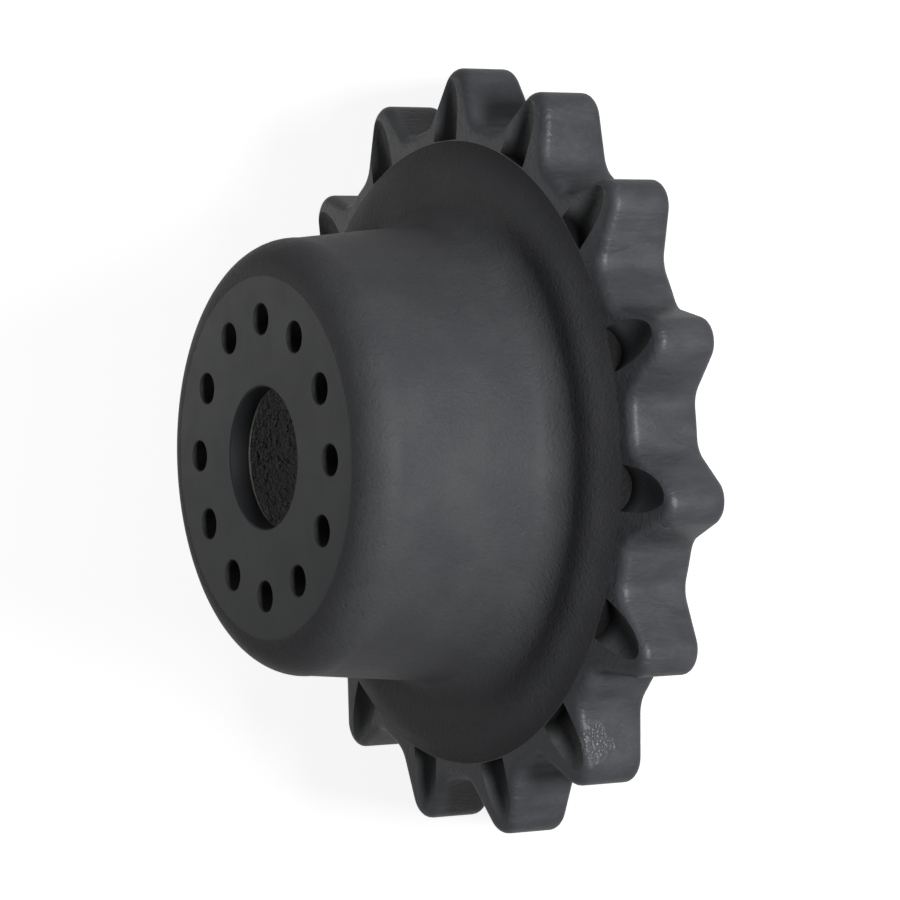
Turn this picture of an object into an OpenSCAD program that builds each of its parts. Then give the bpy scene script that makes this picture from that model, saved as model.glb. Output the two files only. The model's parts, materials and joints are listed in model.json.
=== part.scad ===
// Drive sprocket for a rubber track, cast in one piece.
// All lengths are in millimetres and all angles in degrees.
// The part stands on the back of its toothed rim, and +Z runs along its axis out of the bolt face.

/* [Bolt face] */
// height of the bolt face above the back of the rim
overall_height = 163.5; // [158:0.5:172]
// diameter of the flat, machined bolt face
face_diameter = 196.6; // [190:0.2:202]
// thickness of the plate that is bolted on
plate_thickness = 13; // [10:0.5:18]
// diameter of the circle on which the bolt holes lie
bolt_circle = 150; // [140:1:156]
// number of bolt holes
bolt_count = 12; // [6:1:14]
// diameter of each bolt hole
bolt_hole = 17; // [12:0.5:20]
// diameter of the centre bore
centre_bore = 77.4; // [60:0.2:88]
// chamfer at both ends of the centre bore
bore_chamfer = 0.8; // [0.4:0.1:2]

/* [Drum] */
// radius of the corner between the bolt face and the drum's side
drum_corner = 20.8; // [17:0.2:23]
// draft of the drum's side, measured from the axis
drum_draft = 5.3; // [3:0.1:6]
// thickness of the drum's side and of the flange
wall = 13; // [10:0.5:15]
// radius of the fillet between the drum and the flange
drum_fillet = 17; // [13:0.5:19]

/* [Flange] */
// height of the flange's front above the back of the rim
flange_height = 53.5; // [51:0.5:58]
// diameter at which the flange's front begins to fall away to the rim
flange_flat = 298; // [292:1:306]

/* [Rim] */
// diameter of the groove where the flange meets the toothed rim
groove_diameter = 345; // [341:0.5:349]
// height of the rim's front at that groove
rim_width = 45.3; // [42:0.1:48]
// inner diameter of the rim at its back
rim_bore = 316; // [310:1:320]
// radius of the fillet behind the flange, inside the rim
rim_fillet = 8; // [4:0.5:10]
// outer diameter of the machined land on which the rim stands
land_diameter = 336; // [332:1:338]
// how far that land stands out from the cast back of the rim
land_step = 0.5; // [0.2:0.1:1.5]

/* [Teeth] */
// number of teeth
tooth_count = 15; // [12:1:16]
// turn of the first tooth from the first bolt hole
tooth_turn = -0.7; // [-12:0.1:12]
// diameter over the tips of the teeth
tip_diameter = 426; // [420:0.5:430]
// diameter at the bottom of the gaps
root_diameter = 364.8; // [362:0.2:370]
// radius of a tooth's tip
tip_round = 13; // [11:0.1:15]
// slope of a tooth's flank, measured from its middle line
flank_angle = 28; // [23:0.5:30]
// radius of the hollow between a flank and the bottom of the gap
root_round = 12.2; // [9:0.2:14]
// rounding of every edge of the toothed rim
edge_round = 6; // [4:0.5:8]
// slope of the rim's front and back towards the tips
face_taper = 6.5; // [4:0.5:9]

/* [Hidden] */
$fn = 60;
paint = [0.13, 0.135, 0.145];
// how many pieces a full circle of a rounding's section is drawn with
arc_steps = 16;
fall_steps = 20;
hole_steps = 24;
// how many pieces each stretch of the tooth outline and each edge rounding is drawn with
tip_steps = 4;
root_steps = 3;
edge_steps = 3;
// how far cutting tools run past a surface
overrun = 1;
// how deep the toothed rim is sunk into the body that carries it, and the other way round
rim_lap = 7;
body_lap = 3;

// drum
face_radius = face_diameter / 2;
corner_z = overall_height - drum_corner;
wall_top = [face_radius + drum_corner * cos(drum_draft), corner_z - drum_corner * sin(drum_draft)];
fillet_z = flange_height + drum_fillet;
fillet_r = drum_side(fillet_z) + drum_fillet / cos(drum_draft);
wall_end = [fillet_r - drum_fillet * cos(drum_draft), fillet_z - drum_fillet * sin(drum_draft)];

// hollow inside the drum and behind the flange
plate_z = overall_height - plate_thickness;
inner_corner = drum_corner - plate_thickness + overrun;
hollow_z = plate_z - inner_corner;
hollow_r = hollow_side(hollow_z) - inner_corner / cos(drum_draft);
hollow_top = [hollow_r + inner_corner * cos(drum_draft), hollow_z - inner_corner * sin(drum_draft)];
bend = drum_fillet + wall;
bend_top = [fillet_r - bend * cos(drum_draft), fillet_z - bend * sin(drum_draft)];
web_z = flange_height - wall;

// flange and rim
flat_radius = flange_flat / 2;
groove_radius = groove_diameter / 2;
rim_bore_radius = rim_bore / 2;
land_radius = land_diameter / 2;
seat_radius = groove_radius - rim_lap;
body_radius = groove_radius + body_lap;
fall_drop = flange_height - rim_width;
fall_run = groove_radius - flat_radius;
fall_round = (fall_drop * fall_drop + fall_run * fall_run) / (2 * fall_drop);

// teeth
tip_radius = tip_diameter / 2;
root_radius = root_diameter / 2;
pitch = 360 / tooth_count;
tip_centre = tip_radius - tip_round;
root_centre = root_radius + root_round;
root_turn = asin((tip_centre * sin(flank_angle) + tip_round + root_round) / root_centre) - flank_angle;

// radius of the drum's side and of the hollow's side at a height
function drum_side(z) = wall_top[0] + (wall_top[1] - z) * tan(drum_draft);
function hollow_side(z) = drum_side(z) - wall / cos(drum_draft);

// Half of one tooth, from the middle of its tip to the middle of the gap, shrunk by an inset.
// The tooth points along +X, and each point is [radius, angle].
function polar(p) = [norm(p), atan2(p[1], p[0])];
function on_circle(centre, r, a) = centre + r * [cos(a), sin(a)];
function tip_point(k, inset) =
    polar(on_circle([tip_centre, 0], tip_round - inset, (90 - flank_angle) * k / tip_steps));
function root_point(k, inset) =
    let (start = 270 - flank_angle, end = 180 + root_turn)
    polar(on_circle(
        root_centre * [cos(root_turn), sin(root_turn)],
        root_round + inset,
        start + (end - start) * k / root_steps
    ));
function half_tooth(inset) = [
    for (k = [0:tip_steps]) tip_point(k, inset),
    for (k = [0:root_steps]) root_point(k, inset),
    [root_radius - inset, pitch / 2]
];
function whole_tooth(inset) =
    let (half = half_tooth(inset), last = len(half) - 1)
    [
        for (k = [last:-1:1]) [half[k][0], -half[k][1]],
        for (k = [0:last - 1]) half[k]
    ];
// the closed outline of all the teeth
function outline(inset) = [
    for (t = [0:tooth_count - 1]) for (p = whole_tooth(inset)) [p[0], p[1] + t * pitch]
];

// rings of points on the rim: at a height, sloped towards the tips to one side, or level on a circle
function sloped(points, z, side) = [
    for (p = points)
        [p[0] * cos(p[1]), p[0] * sin(p[1]), z + side * (p[0] - groove_radius) * tan(face_taper)]
];
function level(points, r, z) = [for (p = points) [r * cos(p[1]), r * sin(p[1]), z]];
function edge_inset(k) = edge_round * (1 - sin(90 * k / edge_steps));
function edge_fall(k) = edge_round * (1 - cos(90 * k / edge_steps));
function rim_rings() = [
    level(outline(0), seat_radius, land_step),
    for (k = [0:edge_steps]) sloped(outline(edge_inset(k)), land_step + edge_fall(k), 1),
    for (k = [edge_steps:-1:0]) sloped(outline(edge_inset(k)), rim_width - edge_fall(k), -1),
    level(outline(0), seat_radius, rim_width)
];

// the toothed rim, with a tapered front and back and all its edges rounded
module toothed_rim() {
    rings = rim_rings();
    n = len(rings[0]);
    m = len(rings);
    polyhedron(
        points = [for (r = rings) each r],
        faces = [
            for (j = [0:m - 1]) for (i = [0:n - 1])
                let (a = j * n, b = ((j + 1) % m) * n, c = (i + 1) % n)
                each [[a + i, b + i, b + c], [a + i, b + c, a + c]]
        ],
        convexity = 10
    );
}

// outer section of the drum, right of the axis
module drum_section() {
    polygon([
        [0, overall_height],
        [face_radius, overall_height],
        [face_radius, corner_z],
        wall_top,
        wall_end,
        [fillet_r, fillet_z],
        [fillet_r, web_z - overrun],
        [0, web_z - overrun]
    ]);
    translate([face_radius, corner_z]) circle(r = drum_corner, $fn = arc_steps);
}

// outer section of the flange, falling in an arc to the groove, and of the rim below it
module flange_section() {
    translate([rim_bore_radius - wall, 0])
        square([land_radius - rim_bore_radius + wall, rim_width - land_step]);
    intersection() {
        translate([flat_radius, flange_height - fall_round]) circle(r = fall_round, $fn = 4 * fall_steps);
        translate([flat_radius, rim_width - body_lap])
            square([body_radius - flat_radius, fall_drop + body_lap + overrun]);
    }
    translate([fillet_r - overrun, rim_width - body_lap])
        square([flat_radius - fillet_r + overrun, fall_drop + body_lap]);
}

// section of the hollow inside the drum
module hollow_section() {
    polygon([
        [0, plate_z],
        [hollow_r, plate_z],
        [hollow_r, hollow_z],
        hollow_top,
        bend_top,
        [fillet_r, fillet_z],
        [fillet_r, -overrun],
        [0, -overrun]
    ]);
    translate([hollow_r, hollow_z]) circle(r = inner_corner, $fn = arc_steps);
}

// the drum, the flange and the inside of the rim, as one solid of revolution
module body() {
    rotate_extrude() difference() {
        union() {
            drum_section();
            flange_section();
        }
        translate([fillet_r, fillet_z]) circle(r = drum_fillet, $fn = arc_steps);
        difference() {
            hollow_section();
            translate([fillet_r, fillet_z]) circle(r = bend, $fn = arc_steps);
        }
        translate([fillet_r - overrun, -overrun])
            square([rim_bore_radius - rim_fillet - fillet_r + overrun, web_z + overrun]);
        translate([fillet_r - overrun, -overrun])
            square([rim_bore_radius - fillet_r + overrun, web_z - rim_fillet + overrun]);
        translate([rim_bore_radius - rim_fillet, web_z - rim_fillet])
            circle(r = rim_fillet, $fn = arc_steps);
    }
}

// the centre bore with a chamfer at each end
module bore() {
    r = centre_bore / 2;
    translate([0, 0, plate_z - overrun]) cylinder(r = r, h = plate_thickness + 2 * overrun);
    for (end = [[plate_z, 0], [overall_height, 180]])
        translate([0, 0, end[0]]) rotate([end[1], 0, 0])
            translate([0, 0, -overrun])
                cylinder(r1 = r + bore_chamfer + overrun, r2 = r, h = bore_chamfer + overrun);
}

// the circle of bolt holes through the plate
module bolt_holes() {
    for (i = [0:bolt_count - 1])
        rotate(i * 360 / bolt_count)
            translate([bolt_circle / 2, 0, plate_z - overrun])
                cylinder(d = bolt_hole, h = plate_thickness + 2 * overrun, $fn = hole_steps);
}

module sprocket() {
    color(paint) {
        difference() {
            body();
            bore();
            bolt_holes();
        }
        rotate(tooth_turn) toothed_rim();
    }
}

sprocket();
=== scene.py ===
"""A cast drive sprocket, dressed for its picture: the casting, its paint, the light and the camera.

All lengths are in metres and all angles in radians, unless a comment or docstring says otherwise.
"""

import json
import logging
import math
from dataclasses import dataclass, field
from enum import Enum
from typing import Iterator

import bmesh
import bpy
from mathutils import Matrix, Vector


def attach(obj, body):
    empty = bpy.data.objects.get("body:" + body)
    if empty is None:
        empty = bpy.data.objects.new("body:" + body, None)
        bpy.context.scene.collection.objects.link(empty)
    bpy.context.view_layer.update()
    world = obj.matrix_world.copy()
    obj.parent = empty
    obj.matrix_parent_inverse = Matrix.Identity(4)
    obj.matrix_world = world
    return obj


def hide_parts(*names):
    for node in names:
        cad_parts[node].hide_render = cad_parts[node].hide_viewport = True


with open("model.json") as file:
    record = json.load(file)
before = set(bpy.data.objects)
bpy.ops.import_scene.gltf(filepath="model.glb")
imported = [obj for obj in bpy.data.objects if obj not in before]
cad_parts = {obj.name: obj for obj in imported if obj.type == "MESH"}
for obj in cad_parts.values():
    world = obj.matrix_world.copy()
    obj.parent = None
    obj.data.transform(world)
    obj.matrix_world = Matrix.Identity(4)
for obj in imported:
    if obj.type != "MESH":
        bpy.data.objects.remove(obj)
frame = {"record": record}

log = logging.getLogger("sprocket")

MM = 0.001
NODE = "sprocket"


def select_only(piece: bpy.types.Object) -> None:
    """Select one object and nothing else, and make it the active one.

    Args:
        piece: the object.
    """
    bpy.ops.object.select_all(action="DESELECT")
    piece.select_set(True)
    bpy.context.view_layer.objects.active = piece


class Skin(Enum):
    """The finishes of the casting, in the order of its material slots."""

    FACE = 0
    CAST = 1
    TEETH = 2
    INSIDE = 3
    BORE = 4
    EDGE = 5
    POCKET = 6
    HOLE = 7


@dataclass(frozen=True)
class Row:
    """One ring of points round the axis.

    A plain row is a circle. A toothed row follows the outline of the teeth, drawn in by an inset, and its
    height slopes away from the groove. A share between 0 and 1 blends the circle into the outline.
    """

    level: float
    radius: float = 0.0
    inset: float = 0.0
    share: float = 0.0
    slope: float = 0.0
    skin: Skin = Skin.CAST


@dataclass(frozen=True)
class Bolting:
    """The interfaces of the plate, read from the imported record."""

    circle: float
    count: int
    hole: float
    bore: float
    top: float

    @classmethod
    def from_record(cls, record: dict) -> "Bolting":
        """Read the bolt circle and the centre bore.

        Args:
            record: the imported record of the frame.

        Returns:
            The radii, in metres, and the height of the bolt face.
        """
        mounts = {m["name"]: m for m in record["mounts"]}
        holes, bore = mounts["bolt_holes"], mounts["centre_bore"]
        return cls(
            circle=holes["dims"]["pcd_mm"] / 2 * MM,
            count=holes["dims"]["count"],
            hole=holes["dims"]["hole_r_mm"] * MM,
            bore=bore["dims"]["r_mm"] * MM,
            top=holes["pos_m"][2],
        )


@dataclass(frozen=True)
class Teeth:
    """The outline of the toothed rim, seen along the axis, with its first tooth along +X."""

    count: int = 15
    turn: float = math.radians(-0.7)
    tip_radius: float = 213.0 * MM
    root_radius: float = 182.4 * MM
    tip_round: float = 13.0 * MM
    root_round: float = 12.2 * MM
    flank: float = math.radians(28)
    tip_steps: int = 6
    flank_steps: int = 3
    root_steps: int = 5
    land_steps: int = 2

    def half(self, inset: float) -> list[tuple[float, float]]:
        """Follow half a tooth from the middle of its tip to the middle of the gap.

        Args:
            inset: how far the outline is drawn in.

        Returns:
            Points as radius and angle.
        """
        tip_centre = self.tip_radius - self.tip_round
        root_centre = self.root_radius + self.root_round
        reach = tip_centre * math.sin(self.flank) + self.tip_round + self.root_round
        root_turn = math.asin(reach / root_centre) - self.flank
        tip, root = self.tip_round - inset, self.root_round + inset
        points: list[tuple[float, float]] = []
        for k in range(self.tip_steps + 1):
            a = (math.pi / 2 - self.flank) * k / self.tip_steps
            points.append((tip_centre + tip * math.cos(a), tip * math.sin(a)))
        start, end = math.pi * 1.5 - self.flank, math.pi + root_turn
        hollow = (root_centre * math.cos(root_turn), root_centre * math.sin(root_turn))
        arc = []
        for k in range(self.root_steps + 1):
            a = start + (end - start) * k / self.root_steps
            arc.append((hollow[0] + root * math.cos(a), hollow[1] + root * math.sin(a)))
        last = points[-1]
        for k in range(1, self.flank_steps):
            t = k / self.flank_steps
            points.append((last[0] + (arc[0][0] - last[0]) * t, last[1] + (arc[0][1] - last[1]) * t))
        points += arc
        polar = [(math.hypot(x, y), math.atan2(y, x)) for x, y in points]
        land = polar[-1][1]
        pitch = math.pi / self.count
        for k in range(1, self.land_steps + 1):
            polar.append((self.root_radius - inset, land + (pitch - land) * k / self.land_steps))
        return polar

    def outline(self, inset: float) -> list[tuple[float, float]]:
        """Follow the whole rim, drawn in by an inset.

        Args:
            inset: how far the outline is drawn in.

        Returns:
            Points as radius and angle, in order round the axis.
        """
        half = self.half(inset)
        tooth = [(r, -a) for r, a in reversed(half[1:])] + half[:-1]
        step = 2 * math.pi / self.count
        return [(r, a + t * step + self.turn) for t in range(self.count) for r, a in tooth]


@dataclass(frozen=True)
class Gouge:
    """The hollow in the front of a tooth: a round trough that deepens towards the groove."""

    width: float = 24.4 * MM
    depth: float = 7.0 * MM
    start: float = 172.9 * MM
    end: float = 207.6 * MM
    over: float = 1.6 * MM
    stations: int = 16
    sides: int = 72
    lip: float = 0.7 * MM

    def sink(self, reach: float) -> float:
        """Work out how deep the trough's lowest line lies at a distance from the axis.

        Args:
            reach: the distance from the axis.

        Returns:
            The depth under the tooth's front, below zero past the trough's end.
        """
        share = (self.end - reach) / (self.end - self.start)
        return self.depth * (1 - (1 - share) ** 2)

    def middles(self, groove: float, front: float, taper: float) -> list[tuple[float, float]]:
        """List the middles of the trough's round sections.

        Args:
            groove: the radius of the groove.
            front: the height of the tooth's front at the groove.
            taper: how much the front falls towards the tip, as an angle.

        Returns:
            Distances from the axis and heights.
        """
        radius = self.radius()
        run = self.end + self.over - self.start
        turns = [math.pi / 2 * k / self.stations for k in range(self.stations + 1)]
        reaches = [self.start + run * math.sin(turn) for turn in turns]
        return [(u, front - (u - groove) * math.tan(taper) - self.sink(u) + radius) for u in reaches]

    def radius(self) -> float:
        """Give the radius of the trough's section."""
        return (self.width * self.width / 4 + self.depth * self.depth) / (2 * self.depth)


@dataclass
class Casting:
    """The whole sprocket: drum, flange and toothed rim in one closed skin of rings."""

    bolting: Bolting
    teeth: Teeth = field(default_factory=Teeth)
    chamfer: float = 0.8 * MM
    bare_width: float = 0.6 * MM
    plate: float = 13.0 * MM
    wall: float = 13.0 * MM
    face_radius: float = 98.3 * MM
    drum_corner: float = 20.8 * MM
    draft: float = math.radians(5.3)
    drum_fillet: float = 17.0 * MM
    flange_height: float = 53.5 * MM
    flat_radius: float = 149.0 * MM
    groove_radius: float = 172.5 * MM
    rim_width: float = 45.3 * MM
    rim_bore: float = 158.0 * MM
    rim_fillet: float = 8.0 * MM
    land_radius: float = 168.0 * MM
    land_step: float = 0.5 * MM
    edge_round: float = 5.0 * MM
    taper: float = math.radians(6.5)
    gouge: Gouge = field(default_factory=Gouge)
    corner_gap: float = 1.0 * MM
    hole_flare: float = 0.5 * MM
    hole_sides: int = 48
    overrun: float = 2.0 * MM
    face_steps: int = 4
    corner_steps: int = 14
    side_steps: int = 16
    fillet_steps: int = 12
    flat_steps: int = 2
    fall_steps: int = 10
    edge_steps: int = 5
    rim_steps: int = 6
    blend_steps: int = 3
    bore_steps: int = 3
    inner_fillet_steps: int = 6
    inner_side_steps: int = 26
    inner_steps: int = 5
    seam: float = 0.001 * MM
    weld: float = 0.02 * MM
    speck: float = 0.01 * MM
    smooth_angle: float = math.radians(28)

    def arc(self, centre: tuple[float, float], radius: float, start: float, end: float, steps: int,
            skin: Skin) -> list[Row]:
        """Give plain rows along an arc of the section, without its first point.

        Args:
            centre: the arc's centre as radius and height.
            radius: the arc's radius.
            start: the first angle, in degrees.
            end: the last angle, in degrees.
            steps: how many rows.
            skin: the finish of the faces that lead to them.

        Returns:
            The rows.
        """
        turns = [math.radians(start + (end - start) * k / steps) for k in range(1, steps + 1)]
        r, z = centre
        return [Row(z + radius * math.sin(a), r + radius * math.cos(a), skin=skin) for a in turns]

    def line(self, start: tuple[float, float], end: tuple[float, float], steps: int, skin: Skin) -> list[Row]:
        """Give plain rows along a straight stretch of the section, without its first point.

        Args:
            start: radius and height of the first point.
            end: radius and height of the last point.
            steps: how many rows.
            skin: the finish of the faces that lead to them.

        Returns:
            The rows.
        """
        (r0, z0), (r1, z1) = start, end
        shares = [k / steps for k in range(1, steps + 1)]
        return [Row(z0 + (z1 - z0) * t, r0 + (r1 - r0) * t, skin=skin) for t in shares]

    def wall_top(self) -> tuple[float, float]:
        """Give the radius and height at which the drum's corner ends and its side begins."""
        corner_z = self.bolting.top - self.drum_corner
        reach, drop = self.drum_corner * math.cos(self.draft), self.drum_corner * math.sin(self.draft)
        return self.face_radius + reach, corner_z - drop

    def side(self, level: float, depth: float) -> float:
        """Work out the radius of the drum's side at a height.

        Args:
            level: the height.
            depth: how far the point lies under the side's surface.

        Returns:
            The radius.
        """
        radius, height = self.wall_top()
        return radius + (height - level) * math.tan(self.draft) - depth / math.cos(self.draft)

    def section(self) -> list[Row]:
        """List the rings of the whole casting, from the bore over the face, round the rim and back inside.

        Returns:
            The rows in order. The last one lies on the first.
        """
        return [*self.outer_rows(), *self.rim(), *self.standing_rows(), *self.inner_rows()]

    def fillet(self) -> tuple[float, float]:
        """Give the middle of the round between the drum and the flange."""
        level = self.flange_height + self.drum_fillet
        return self.side(level, -self.drum_fillet), level

    def outer_rows(self) -> list[Row]:
        """List the rings in front, from the bore over the face and the drum to the groove.

        Returns:
            The rows in order.
        """
        top, bore = self.bolting.top, self.bolting.bore
        tilt, draft = math.degrees(self.draft), self.draft
        cast = Skin.CAST
        lip = bore + self.chamfer
        corner = (self.face_radius, top - self.drum_corner)
        fillet = self.fillet()
        wall_end = (fillet[0] - self.drum_fillet * math.cos(draft), fillet[1] - self.drum_fillet * math.sin(draft))
        drop, run = self.flange_height - self.rim_width, self.groove_radius - self.flat_radius
        fall = (drop * drop + run * run) / (2 * drop)
        fall_end = 90 - math.degrees(math.asin(run / fall))
        fall_middle = (self.flat_radius, self.flange_height - fall)
        flat = ((fillet[0], self.flange_height), (self.flat_radius, self.flange_height))
        return [
            Row(top - self.chamfer, bore), Row(top, lip, skin=Skin.BORE),
            *self.line((lip, top), (self.face_radius, top), self.face_steps, Skin.FACE),
            *self.arc(corner, self.drum_corner, 90, -tilt, self.corner_steps, cast),
            *self.line(self.wall_top(), wall_end, self.side_steps, cast),
            *self.arc(fillet, self.drum_fillet, 180 + tilt, 270, self.fillet_steps, cast),
            *self.line(*flat, self.flat_steps, cast),
            *self.arc(fall_middle, fall, 90, fall_end, self.fall_steps, cast),
        ]

    def standing_rows(self) -> list[Row]:
        """List the rings of the land on which the casting stands.

        Returns:
            The rows in order.
        """
        teeth = Skin.TEETH
        return [
            Row(self.land_step, self.land_radius, skin=teeth), Row(0, self.land_radius, skin=teeth),
            *self.line((self.land_radius, 0), (self.rim_bore, 0), self.flat_steps, teeth),
        ]

    def inner_rows(self) -> list[Row]:
        """List the rings inside, from the rim's bore up the drum and back through the plate.

        Returns:
            The rows in order. The last one lies on the first of the outer rows.
        """
        top, bore = self.bolting.top, self.bolting.bore
        tilt, draft = math.degrees(self.draft), self.draft
        inside = Skin.INSIDE
        plate_z = top - self.plate
        lip = bore + self.chamfer
        inner = self.drum_corner - self.plate + self.corner_gap
        hollow_z = plate_z - inner
        hollow = (self.side(hollow_z, self.wall + inner), hollow_z)
        hollow_top = (hollow[0] + inner * math.cos(draft), hollow_z - inner * math.sin(draft))
        fillet = self.fillet()
        bend = self.drum_fillet + self.wall
        bend_top = (fillet[0] - bend * math.cos(draft), fillet[1] - bend * math.sin(draft))
        web = self.flange_height - self.wall
        rim_top = (self.rim_bore, web - self.rim_fillet)
        web_end = self.rim_bore - self.rim_fillet
        bare = plate_z + self.chamfer + self.bare_width
        return [
            *self.line((self.rim_bore, 0), rim_top, self.inner_steps, inside),
            *self.arc((web_end, rim_top[1]), self.rim_fillet, 0, 90, self.inner_fillet_steps, inside),
            *self.line((web_end, web), (fillet[0], web), self.flat_steps, inside),
            *self.arc(fillet, bend, 270, 180 + tilt, self.fillet_steps, inside),
            *self.line(bend_top, hollow_top, self.inner_side_steps, inside),
            *self.arc(hollow, inner, -tilt, 90, self.inner_steps, inside),
            *self.line((hollow[0], plate_z), (lip, plate_z), self.inner_steps, inside),
            Row(plate_z + self.chamfer, bore, skin=Skin.EDGE), Row(bare, bore, skin=Skin.EDGE),
            *self.line((bore, bare), (bore, top - self.chamfer), self.bore_steps, Skin.BORE),
        ]

    def rim(self) -> Iterator[Row]:
        """Give the toothed rows: front face, front edge, outside, back edge and back face.

        Yields:
            The rows, from the groove in front to the land behind.
        """
        steps, blend, skin, r = self.edge_steps, self.blend_steps, Skin.TEETH, self.edge_round
        for k in range(1, blend + 1):
            yield Row(self.rim_width, self.groove_radius, r, k / blend, -1, skin)
        for k in range(1, steps + 1):
            a = math.pi / 2 * k / steps
            yield Row(self.rim_width - r * (1 - math.cos(a)), 0, r * (1 - math.sin(a)), 1, -1, skin)
        low, high = self.land_step + r, self.rim_width - r
        for k in range(1, self.rim_steps):
            t = k / self.rim_steps
            yield Row(high + (low - high) * t, 0, 0, 1, 2 * t - 1, skin)
        for k in range(steps + 1):
            a = math.pi / 2 * (1 - k / steps)
            yield Row(self.land_step + r * (1 - math.cos(a)), 0, r * (1 - math.sin(a)), 1, 1, skin)
        for k in range(1, blend):
            yield Row(self.land_step, self.land_radius, r, 1 - k / blend, 1, skin)

    def place(self, row: Row) -> list[Vector]:
        """Work out where the points of one ring lie.

        Args:
            row: the ring.

        Returns:
            One point for each column.
        """
        outline = self.teeth.outline(row.inset)
        base = self.teeth.outline(0)
        points = []
        for (r, a), (_, a0) in zip(outline, base):
            radius = row.radius + (r - row.radius) * row.share
            angle = a0 + (a - a0) * row.share
            level = row.level + row.slope * (radius - self.groove_radius) * math.tan(self.taper)
            points.append(Vector((radius * math.cos(angle), radius * math.sin(angle), level)))
        return points

    def build(self, materials: list[bpy.types.Material]) -> bpy.types.Object:
        """Draw the closed skin ring by ring, drill the bolt holes and finish the surface.

        Args:
            materials: one for each finish, in the order of Skin.

        Returns:
            The casting.
        """
        rows = self.section()
        columns = len(self.teeth.outline(0))
        bpy.ops.object.select_all(action="DESELECT")
        bpy.ops.mesh.primitive_circle_add(vertices=columns, radius=rows[0].radius, location=(0, 0, 0))
        piece = bpy.context.object
        piece.name = "sprocket_casting"
        for material in materials:
            piece.data.materials.append(material)
        bpy.ops.object.mode_set(mode="EDIT")
        mesh = bmesh.from_edit_mesh(piece.data)
        column = mesh.verts.layers.int.new("column")
        for k, vert in enumerate(mesh.verts):
            vert[column] = k
        self.shape(piece, self.place(rows[0]))
        for row in rows[1:]:
            bpy.ops.mesh.extrude_edges_move()
            self.shape(piece, self.place(row))
            self.paint_strip(piece, row.skin)
        bpy.ops.mesh.select_all(action="SELECT")
        bpy.ops.mesh.remove_doubles(threshold=self.seam)
        bpy.ops.mesh.normals_make_consistent(inside=False)
        bpy.ops.object.mode_set(mode="OBJECT")
        self.drill(piece)
        self.hollow_teeth(piece)
        self.break_lips(piece)
        select_only(piece)
        bpy.ops.object.shade_smooth_by_angle(angle=self.smooth_angle)
        return piece

    def shape(self, piece: bpy.types.Object, points: list[Vector]) -> None:
        """Move the newest ring to its points.

        Args:
            piece: the casting, in edit mode.
            points: one point for each column.
        """
        mesh = bmesh.from_edit_mesh(piece.data)
        mesh.verts.ensure_lookup_table()
        column = mesh.verts.layers.int["column"]
        for vert in mesh.verts[-len(points):]:
            vert.co = points[vert[column]]
        bmesh.update_edit_mesh(piece.data)

    def paint_strip(self, piece: bpy.types.Object, skin: Skin) -> None:
        """Give the newest strip of faces its finish.

        Args:
            piece: the casting, in edit mode.
            skin: the finish.
        """
        mesh = bmesh.from_edit_mesh(piece.data)
        mesh.faces.ensure_lookup_table()
        for face in mesh.faces[-len(self.teeth.outline(0)):]:
            face.material_index = skin.value
        bmesh.update_edit_mesh(piece.data)

    def drill(self, piece: bpy.types.Object) -> None:
        """Cut the bolt holes, each with a small chamfer in front.

        Args:
            piece: the casting.
        """
        b, flare = self.bolting, self.hole_flare
        start = b.top - self.plate - self.overrun
        steps = [(b.hole, start), (b.hole, b.top - flare), (b.hole + 2 * flare, b.top + flare)]
        bpy.ops.object.select_all(action="DESELECT")
        bpy.ops.mesh.primitive_circle_add(vertices=self.hole_sides, radius=b.hole, fill_type="NGON",
                                          location=(b.circle, 0, start))
        cutter = bpy.context.object
        bpy.ops.object.mode_set(mode="EDIT")
        for (r0, z0), (r1, z1) in zip(steps, steps[1:]):
            bpy.ops.mesh.extrude_region_move(TRANSFORM_OT_translate={"value": (0, 0, z1 - z0)})
            bpy.ops.transform.resize(value=(r1 / r0, r1 / r0, 1), center_override=(b.circle, 0, 0))
        bpy.ops.mesh.select_all(action="SELECT")
        self.repeat(b.count)
        self.cut(piece, cutter, Skin.HOLE)

    def hollow_teeth(self, piece: bpy.types.Object) -> None:
        """Cut the hollow in the front of every tooth.

        Args:
            piece: the casting.
        """
        g = self.gouge
        middles = g.middles(self.groove_radius, self.rim_width, self.taper)
        bpy.ops.object.select_all(action="DESELECT")
        bpy.ops.mesh.primitive_circle_add(vertices=g.sides, radius=g.radius(), fill_type="NGON",
                                          location=(middles[0][0], 0, middles[0][1]), rotation=(0, math.pi / 2, 0))
        cutter = bpy.context.object
        bpy.ops.object.mode_set(mode="EDIT")
        for (u0, z0), (u1, z1) in zip(middles, middles[1:]):
            bpy.ops.mesh.extrude_region_move(TRANSFORM_OT_translate={"value": (u1 - u0, 0, z1 - z0)})
        bpy.ops.mesh.select_all(action="SELECT")
        bpy.ops.transform.rotate(value=self.teeth.turn, orient_axis="Z", center_override=(0, 0, 0))
        self.repeat(self.teeth.count)
        self.cut(piece, cutter, Skin.POCKET)

    def repeat(self, count: int) -> None:
        """Copy the cutter that is being edited round the axis, and leave edit mode.

        Args:
            count: how many there are in all.
        """
        bpy.ops.mesh.spin(steps=count - 1, dupli=True, angle=2 * math.pi * (count - 1) / count,
                          center=(0, 0, 0), axis=(0, 0, 1))
        bpy.ops.mesh.select_all(action="SELECT")
        bpy.ops.mesh.normals_make_consistent(inside=False)
        bpy.ops.object.mode_set(mode="OBJECT")

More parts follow.
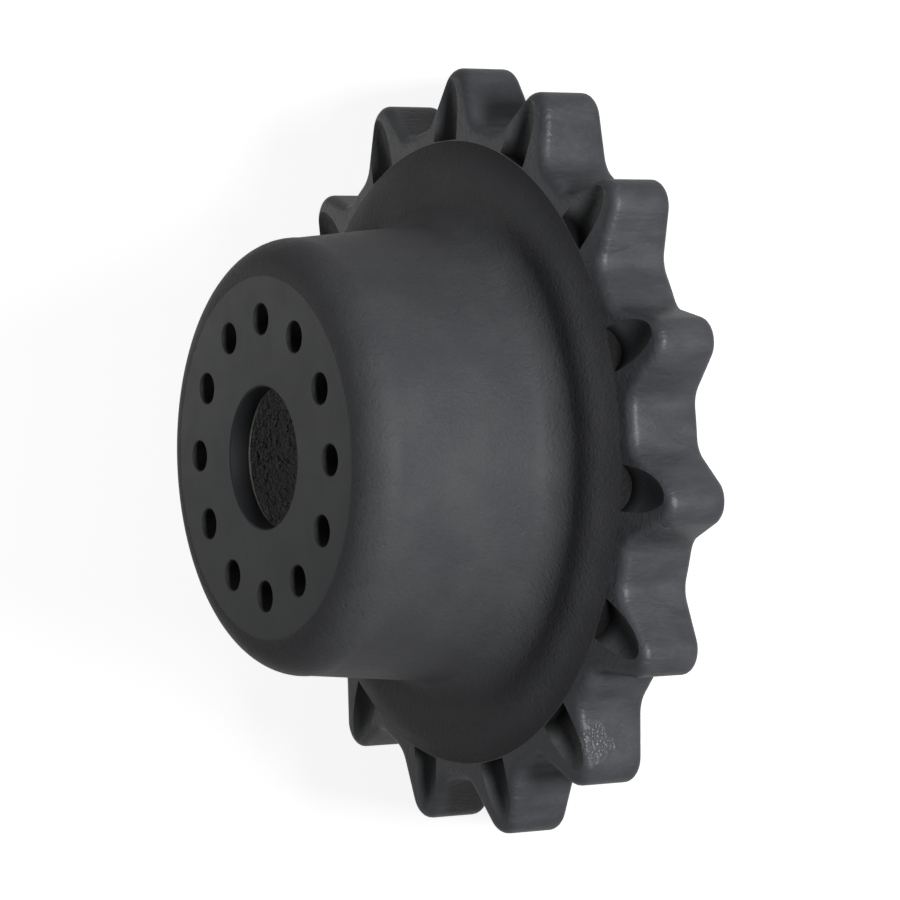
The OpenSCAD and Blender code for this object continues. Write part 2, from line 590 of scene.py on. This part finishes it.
    def cut(self, piece: bpy.types.Object, cutter: bpy.types.Object, skin: Skin) -> None:
        """Take a cutter out of the casting, and the cutter out of the scene.

        Args:
            piece: the casting.
            cutter: the solid to take away.
            skin: the finish of the faces that it leaves.
        """
        cutter.data.materials.append(piece.data.materials[skin.value])
        select_only(piece)
        cut = piece.modifiers.new("cut", "BOOLEAN")
        cut.object, cut.operation, cut.solver, cut.material_mode = cutter, "DIFFERENCE", "EXACT", "TRANSFER"
        bpy.ops.object.modifier_apply(modifier=cut.name)
        bpy.data.objects.remove(cutter)

    def break_lips(self, piece: bpy.types.Object) -> None:
        """Break the sharp edge all round the hollows, and clear the slivers that cutting left.

        Args:
            piece: the casting.
        """
        pocket = Skin.POCKET.value
        bpy.ops.object.mode_set(mode="EDIT")
        bpy.ops.mesh.select_all(action="SELECT")
        bpy.ops.mesh.remove_doubles(threshold=self.weld)
        bpy.ops.mesh.select_all(action="DESELECT")
        mesh = bmesh.from_edit_mesh(piece.data)
        for edge in mesh.edges:
            skins = {face.material_index for face in edge.link_faces}
            edge.select = pocket in skins and len(skins) > 1
        mesh.select_flush_mode()
        bmesh.update_edit_mesh(piece.data)
        bpy.ops.mesh.bevel(offset=self.gouge.lip, segments=2, profile=0.5, clamp_overlap=True,
                           material=Skin.TEETH.value)
        bpy.ops.mesh.select_all(action="SELECT")
        bpy.ops.mesh.dissolve_degenerate(threshold=self.speck)
        bpy.ops.object.mode_set(mode="OBJECT")


@dataclass(frozen=True)
class Softbox:
    """A soft studio light that looks at the sprocket."""

    name: str
    place: tuple[float, float, float]
    width: float
    height: float
    power: float
    aim: tuple[float, float, float] = (0.0, 0.0, 0.08)

    def build(self) -> bpy.types.Object:
        """Hang the light and turn it to its aim.

        Returns:
            The light.
        """
        bpy.ops.object.light_add(type="AREA", location=self.place)
        lamp = bpy.context.object
        lamp.name = self.name
        lamp.data.shape, lamp.data.size, lamp.data.size_y = "RECTANGLE", self.width, self.height
        lamp.data.energy = self.power
        toward = Vector(self.aim) - Vector(self.place)
        lamp.rotation_euler = toward.to_track_quat("-Z", "Y").to_euler()
        return lamp


class Wiring:
    """Adds nodes to a node tree and joins them."""

    def __init__(self, tree: bpy.types.NodeTree) -> None:
        """Start with an empty tree.

        Args:
            tree: the node tree.
        """
        self.tree = tree
        tree.nodes.clear()

    def add(self, kind: str, inputs: dict | None = None, **settings: object) -> bpy.types.Node:
        """Add one node.

        Args:
            kind: the node's type.
            inputs: values or output sockets for its inputs, by name or number.
            settings: the node's own properties.

        Returns:
            The node.
        """
        node = self.tree.nodes.new(kind)
        for name, value in settings.items():
            setattr(node, name, value)
        for name, value in (inputs or {}).items():
            if isinstance(value, bpy.types.NodeSocket):
                self.tree.links.new(value, node.inputs[name])
            else:
                node.inputs[name].default_value = value
        return node

    def maths(self, operation: str, a: object, b: object = 0.0, clamp: bool = False) -> bpy.types.NodeSocket:
        """Add a Math node.

        Args:
            operation: the kind of sum.
            a: the first value or socket.
            b: the second value or socket.
            clamp: whether the result stays between 0 and 1.

        Returns:
            The result's socket.
        """
        return self.add("ShaderNodeMath", {0: a, 1: b}, operation=operation, use_clamp=clamp).outputs[0]

    def span(self, value: object, low: float, high: float, to_low: float = 0.0,
             to_high: float = 1.0) -> bpy.types.NodeSocket:
        """Map a span of values to another one, smoothly.

        Args:
            value: the value or socket.
            low: where the span starts.
            high: where it ends.
            to_low: the result at its start.
            to_high: the result at its end.

        Returns:
            The result's socket.
        """
        inputs = {"Value": value, "From Min": low, "From Max": high, "To Min": to_low, "To Max": to_high}
        return self.add("ShaderNodeMapRange", inputs, interpolation_type="SMOOTHSTEP").outputs["Result"]

    def noise(self, vector: bpy.types.NodeSocket, scale: object, detail: float,
              roughness: float = 0.5) -> bpy.types.NodeSocket:
        """Add a Noise texture.

        Args:
            vector: the place that it reads.
            scale: the scale, as a value or socket.
            detail: how many finer layers it has.
            roughness: how strongly they count.

        Returns:
            The value's socket.
        """
        inputs = {"Vector": vector, "Scale": scale, "Detail": detail, "Roughness": roughness}
        return self.add("ShaderNodeTexNoise", inputs).outputs[0]

    def per_mm(self, size: bpy.types.NodeSocket) -> bpy.types.NodeSocket:
        """Turn a size in millimetres into a texture's scale."""
        return self.maths("DIVIDE", 1 / MM, size)

    def blend(self, share: object, a: object, b: object) -> bpy.types.NodeSocket:
        """Mix two colours.

        Args:
            share: how much of the second colour shows.
            a: the first colour or socket.
            b: the second colour or socket.

        Returns:
            The colour's socket.
        """
        return self.add("ShaderNodeMix", {0: share, 6: a, 7: b}, data_type="RGBA").outputs[2]


def new_group(name: str, inputs: dict[str, tuple[str, object]],
              outputs: dict[str, str]) -> tuple[Wiring, bpy.types.Node, bpy.types.Node]:
    """Start a shader node group with named sockets.

    Args:
        name: the group's name.
        inputs: socket type and default value by name.
        outputs: socket type by name.

    Returns:
        The wiring, and the nodes that hold the group's inputs and outputs.
    """
    tree = bpy.data.node_groups.new(name, "ShaderNodeTree")
    wiring = Wiring(tree)
    for label, (kind, value) in inputs.items():
        socket = tree.interface.new_socket(name=label, in_out="INPUT", socket_type=kind)
        if value is not None:
            socket.default_value = value
    for label, kind in outputs.items():
        tree.interface.new_socket(name=label, in_out="OUTPUT", socket_type=kind)
    return wiring, wiring.add("NodeGroupInput"), wiring.add("NodeGroupOutput")


FLOAT, COLOR, VECTOR = "NodeSocketFloat", "NodeSocketColor", "NodeSocketVector"

# how much coarser the pits are than the grain, as a share of its scale
PIT_SCALE = 0.45
# the scale of the paint's fine specks, per metre
SPECK_SCALE = 900.0
# how much rougher the paint is where the bloom covers it
BLOOM_DULLS = 0.12
# the colour of the painted shade deep in the groove
PAINTED_SHADE_COLOR = (0.002, 0.002, 0.002, 1)


def cast_grain_group() -> bpy.types.NodeTree:
    """Make the grain of a sand casting under paint: fine peel over soft lumps, with a few pits.

    Returns:
        The group. It puts out a height between 0 and 1.
    """
    w, i, o = new_group(
        "cast_grain",
        {"Vector": (VECTOR, None), "Grain": (FLOAT, 1.5), "Lumps": (FLOAT, 9.0), "Lump Share": (FLOAT, 0.3),
         "Pits": (FLOAT, 0.3)},
        {"Height": FLOAT},
    )
    v = i.outputs["Vector"]
    fine = w.per_mm(i.outputs["Grain"])
    peel = w.noise(v, fine, detail=3.0, roughness=0.55)
    lumps = w.noise(v, w.per_mm(i.outputs["Lumps"]), detail=2.0, roughness=0.5)
    pits = w.noise(v, w.maths("MULTIPLY", fine, PIT_SCALE), detail=1.0)
    pits = w.maths("MULTIPLY", w.span(pits, low=0.34, high=0.42, to_low=1.0, to_high=0.0), i.outputs["Pits"])
    grain = w.maths("MULTIPLY", peel, w.maths("SUBTRACT", 1.0, i.outputs["Lump Share"]))
    height = w.maths("ADD", grain, w.maths("MULTIPLY", lumps, i.outputs["Lump Share"]))
    w.tree.links.new(w.maths("SUBTRACT", height, pits), o.inputs["Height"])
    return w.tree


def paint_coat_group() -> bpy.types.NodeTree:
    """Make the colour and gloss of thin black paint: patches, fine specks and a dusty bloom, with painted shade
    blended in by the Shade input.

    Returns:
        The group. It puts out a colour and a roughness.
    """
    w, i, o = new_group(
        "paint_coat",
        {"Vector": (VECTOR, None), "Paint": (COLOR, (0.03, 0.03, 0.03, 1)), "Bloom": (COLOR, (0.06, 0.06, 0.06, 1)),
         "Patch": (FLOAT, 30.0), "Bloom Share": (FLOAT, 0.4), "Specks": (FLOAT, 0.2), "Roughness": (FLOAT, 0.5),
         "Shade": (FLOAT, 0.0)},
        {"Color": COLOR, "Roughness": FLOAT},
    )
    v = i.outputs["Vector"]
    patch = w.span(w.noise(v, w.per_mm(i.outputs["Patch"]), detail=4.0, roughness=0.6), low=0.35, high=0.7)
    speck = w.span(w.noise(v, SPECK_SCALE, detail=2.0), low=0.55, high=0.75)
    speck = w.maths("MULTIPLY", speck, i.outputs["Specks"])
    share = w.maths("ADD", w.maths("MULTIPLY", patch, i.outputs["Bloom Share"]), speck, clamp=True)
    color = w.blend(share, i.outputs["Paint"], i.outputs["Bloom"])
    # painted shade: the colour is blended towards near-black by the Shade input
    w.tree.links.new(w.blend(i.outputs["Shade"], color, PAINTED_SHADE_COLOR), o.inputs["Color"])
    rough = w.maths("ADD", i.outputs["Roughness"], w.maths("MULTIPLY", share, BLOOM_DULLS), clamp=True)
    w.tree.links.new(rough, o.inputs["Roughness"])
    return w.tree


@dataclass(frozen=True)
class Scar:
    """A spot where the casting's skin is broken into small facets that catch the light."""

    place: tuple[float, float, float] = (-152.0 * MM, -127.0 * MM, 33.0 * MM)
    radius: float = 13.0 * MM
    facet: float = 1.8 * MM
    height: float = 1.4
    shine: float = 0.1
    bare: tuple[float, float, float] = (0.04, 0.0412, 0.0435)
    bare_share: float = 0.45
    ragged: float = 1.2
    ragged_scale: float = 130.0
    core: float = 0.45

    def mask(self, w: Wiring, spot: bpy.types.NodeSocket) -> tuple[bpy.types.NodeSocket, bpy.types.NodeSocket]:
        """Mark the spot and its facets.

        Args:
            w: the wiring of the material.
            spot: the place on the casting.

        Returns:
            How much of the spot shows, and the height of its facets.
        """
        away = w.add("ShaderNodeVectorMath", {0: spot, 1: self.place}, operation="DISTANCE").outputs["Value"]
        ragged = w.maths("SUBTRACT", w.noise(spot, self.ragged_scale, detail=3.0), 0.5)
        away = w.maths("ADD", away, w.maths("MULTIPLY", ragged, self.radius * self.ragged))
        share = w.span(away, self.radius * self.core, self.radius, 1.0, 0.0)
        cells = w.add("ShaderNodeTexVoronoi", {"Vector": spot, "Scale": 1 / self.facet}).outputs["Distance"]
        return share, w.maths("MULTIPLY", share, w.maths("MULTIPLY", cells, self.height))


@dataclass(frozen=True)
class PaintFinish:
    """The skin of cast or machined metal, under thin black paint or bare.

    Grain, lumps, depth and patch are sizes in millimetres. The painted shade span is a pair of distances from the
    axis, in millimetres, across which painted shade darkens the colour towards near-black by the painted shade
    share.
    """

    name: str
    paint: tuple[float, float, float]
    bloom: tuple[float, float, float]
    patch: float = 30.0
    bloom_share: float = 0.4
    specks: float = 0.15
    roughness: float = 0.5
    specular: float = 0.3
    grain: float = 1.5
    lumps: float = 9.0
    lump_share: float = 0.3
    pits: float = 0.2
    depth: float = 0.15
    stretch: tuple[float, float, float] = (1.0, 1.0, 1.0)
    coat: float = 0.0
    coat_smoothness: float = 0.7
    # painted shade towards the groove, standing in for shade that the lights don't give
    painted_shade_span: tuple[float, float] = (-1.0, -0.9)
    painted_shade_share: float = 0.0
    scar: Scar | None = None

    def build(self, grain: bpy.types.NodeTree, coat: bpy.types.NodeTree) -> bpy.types.Material:
        """Make the material.

        Args:
            grain: the group for the surface's height.
            coat: the group for its colour and gloss.

        Returns:
            The material.
        """
        material = bpy.data.materials.new(self.name)
        material.use_nodes = True
        w = Wiring(material.node_tree)
        spot = w.add("ShaderNodeTexCoord").outputs["Object"]
        flat = w.add("ShaderNodeVectorMath", {0: spot, 1: (1, 1, 0)}, operation="MULTIPLY").outputs[0]
        reach = w.add("ShaderNodeVectorMath", {0: flat}, operation="LENGTH").outputs["Value"]
        # painted shade, growing across the span of distances from the axis
        shade = w.maths("MULTIPLY", w.span(reach, self.painted_shade_span[0] * MM, self.painted_shade_span[1] * MM), self.painted_shade_share)
        place = w.add("ShaderNodeMapping", {"Vector": spot, "Scale": self.stretch}).outputs[0]
        look = w.add("ShaderNodeGroup", {
            "Vector": place, "Patch": self.patch, "Bloom Share": self.bloom_share, "Specks": self.specks,
            "Roughness": self.roughness, "Paint": (*self.paint, 1), "Bloom": (*self.bloom, 1), "Shade": shade,
        }, node_tree=coat)
        bumps = w.add("ShaderNodeGroup", {
            "Vector": place, "Grain": self.grain, "Lumps": self.lumps, "Lump Share": self.lump_share,
            "Pits": self.pits,
        }, node_tree=grain)
        color, rough, height = look.outputs["Color"], look.outputs["Roughness"], bumps.outputs["Height"]
        if self.scar:
            share, facets = self.scar.mask(w, spot)
            bare_share = w.maths("MULTIPLY", facets, self.scar.bare_share, clamp=True)
            color = w.blend(bare_share, color, (*self.scar.bare, 1))
            rough = w.maths("SUBTRACT", rough, w.maths("MULTIPLY", share, self.scar.shine))
            height = w.maths("ADD", height, facets)
        bump = w.add("ShaderNodeBump", {"Height": height, "Distance": self.depth * MM})
        shader = w.add("ShaderNodeBsdfPrincipled", {
            "Base Color": color, "Roughness": rough,
            "Specular IOR Level": self.specular, "Coat Weight": self.coat,
            "Coat Roughness": self.roughness * self.coat_smoothness,
            "Coat Normal": bump.outputs["Normal"], "Normal": bump.outputs["Normal"]})
        w.add("ShaderNodeOutputMaterial", {"Surface": shader.outputs["BSDF"]})
        return material


FINISHES: dict[Skin, PaintFinish] = {
    Skin.FACE: PaintFinish("painted_face", (0.019, 0.02, 0.022), (0.027, 0.028, 0.03), depth=0.09, grain=1.2,
                           roughness=0.5, specular=0.09),
    # the drum and flange carry painted shade that darkens them towards the groove
    Skin.CAST: PaintFinish("painted_cast_drum", (0.023, 0.0235, 0.0255), (0.034, 0.0345, 0.0365), depth=0.5,
                           grain=1.7, lump_share=0.2, roughness=0.5, specular=0.045, specks=0.5, painted_shade_span=(158, 173),
                           painted_shade_share=0.6),
    Skin.TEETH: PaintFinish("painted_teeth", (0.016, 0.017, 0.0195), (0.033, 0.034, 0.037), depth=0.5,
                            grain=2.0, lumps=11.0, lump_share=0.4, roughness=0.5, specular=0.12, coat=0.06,
                            patch=14.0, bloom_share=0.5, specks=0.3, stretch=(1.0, 1.0, 0.45), scar=Scar()),
    Skin.INSIDE: PaintFinish("rough_cast_inside", (0.06, 0.06, 0.062), (0.2, 0.2, 0.203), depth=2.0,
                             grain=2.0, lump_share=0.1, pits=0.6, roughness=0.55, specular=0.5, specks=1.0),
    # darker than the rest of the paint: painted shade on the bore's wall and its chamfer
    Skin.BORE: PaintFinish("painted_bore", (0.007, 0.0075, 0.0083), (0.011, 0.0115, 0.0122), depth=0.05,
                           specular=0.1),
    # bare metal at the inner edge of the bore, coloured lighter also as a painted highlight along that edge
    Skin.EDGE: PaintFinish("bare_edge", (0.13, 0.12, 0.105), (0.2, 0.185, 0.165), depth=0.05, specular=0.6),
    # the tooth hollows carry painted shade that darkens them towards the groove
    Skin.POCKET: PaintFinish("painted_pockets", (0.022, 0.023, 0.025), (0.036, 0.037, 0.039), depth=0.45,
                             grain=2.4, roughness=0.5, specular=0.08, painted_shade_span=(185, 173.5), painted_shade_share=0.95),
    # darker than the rest of the paint: painted shade on the walls of the bolt holes
    Skin.HOLE: PaintFinish("painted_holes", (0.011, 0.0115, 0.0125), (0.016, 0.0165, 0.0175), depth=0.05,
                           specular=0.1),
}


@dataclass(frozen=True)
class Studio:
    """The floor, the light and the camera."""

    camera_place: tuple[float, float, float] = (0.0554, -1.9128, 1.1741)
    # in degrees
    camera_turn: tuple[float, float, float] = (-2.833, 59.439, -91.670)
    # the lens and the sensor's width, in millimetres
    lens: float = 160.04
    sensor: float = 36.0
    sight: float = 50.0
    floor_size: float = 12.0
    floor_color: tuple[float, float, float] = (0.8, 0.8, 0.8)
    floor_glow: float = 0.8
    sky: float = 0.08
    lights: tuple[Softbox, ...] = (
        Softbox("key", (0.05, -2.4, 0.32), 0.5, 0.5, 146.0, (0.0, 0.0, 0.1)),
        Softbox("upper", (1.6, -1.6, 0.6), 0.9, 0.9, 3.0),
        Softbox("rim", (0.3, 1.8, 1.0), 0.6, 0.6, 5.0),
    )

    def backdrop_share(self, w: Wiring) -> bpy.types.NodeSocket:
        """Tell the rays that see the backdrop from the rays that carry its light.

        Args:
            w: the wiring of the world or the floor.

        Returns:
            1 for camera, glossy and transmission rays, and 0 for the others.
        """
        path = w.add("ShaderNodeLightPath").outputs
        seen = w.maths("ADD", path["Is Camera Ray"], path["Is Glossy Ray"])
        return w.maths("ADD", seen, path["Is Transmission Ray"], clamp=True)

    def build(self) -> None:
        """Set up the world, the floor, the lights and the camera."""
        self.build_world()
        self.build_floor()
        for light in self.lights:
            light.build()
        self.build_camera()

    def build_world(self) -> None:
        """Make the world white where it is seen and soft grey where it lights."""
        world = bpy.data.worlds.new("studio")
        bpy.context.scene.world = world
        world.use_nodes = True
        w = Wiring(world.node_tree)
        strength = w.span(self.backdrop_share(w), 0, 1, self.sky, 1.0)
        back = w.add("ShaderNodeBackground", {"Color": (1, 1, 1, 1), "Strength": strength})
        w.add("ShaderNodeOutputWorld", {"Surface": back.outputs[0]})

    def build_floor(self) -> None:
        """Lay a pale floor that looks white and keeps a faint shadow."""
        bpy.ops.object.select_all(action="DESELECT")
        bpy.ops.mesh.primitive_plane_add(size=self.floor_size, location=(0, 0, 0))
        floor = bpy.context.object
        floor.name = "floor"
        material = bpy.data.materials.new("pale_floor")
        material.use_nodes = True
        w = Wiring(material.node_tree)
        glow = w.maths("MULTIPLY", self.backdrop_share(w), self.floor_glow)
        shader = w.add("ShaderNodeBsdfPrincipled", {
            "Base Color": (*self.floor_color, 1), "Roughness": 1.0, "Specular IOR Level": 0.0,
            "Emission Color": (1, 1, 1, 1), "Emission Strength": glow})
        w.add("ShaderNodeOutputMaterial", {"Surface": shader.outputs["BSDF"]})
        floor.data.materials.append(material)

    def build_camera(self) -> None:
        """Set the camera as it stood for the photograph."""
        bpy.ops.object.camera_add(location=self.camera_place)
        camera = bpy.context.object
        camera.rotation_euler = tuple(math.radians(a) for a in self.camera_turn)
        camera.data.lens = self.lens
        camera.data.sensor_width = self.sensor
        camera.data.clip_end = self.sight
        bpy.context.scene.camera = camera


def main() -> None:
    """Build the sprocket, its light and its camera."""
    logging.basicConfig(level=logging.INFO, format="%(name)s: %(message)s")
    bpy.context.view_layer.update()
    scene = bpy.context.scene
    scene.view_settings.view_transform = "Standard"
    grain, coat = cast_grain_group(), paint_coat_group()
    casting = Casting(Bolting.from_record(frame["record"]))
    piece = casting.build([FINISHES[skin].build(grain, coat) for skin in Skin])
    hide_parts(NODE)
    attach(piece, "root")
    log.info("%s: %d faces", piece.name, len(piece.data.polygons))
    studio = Studio()
    studio.build()
    log.info("studio: %d lights and a camera of %.0f mm", len(studio.lights), studio.lens)


if __name__ == "__main__":
    main()
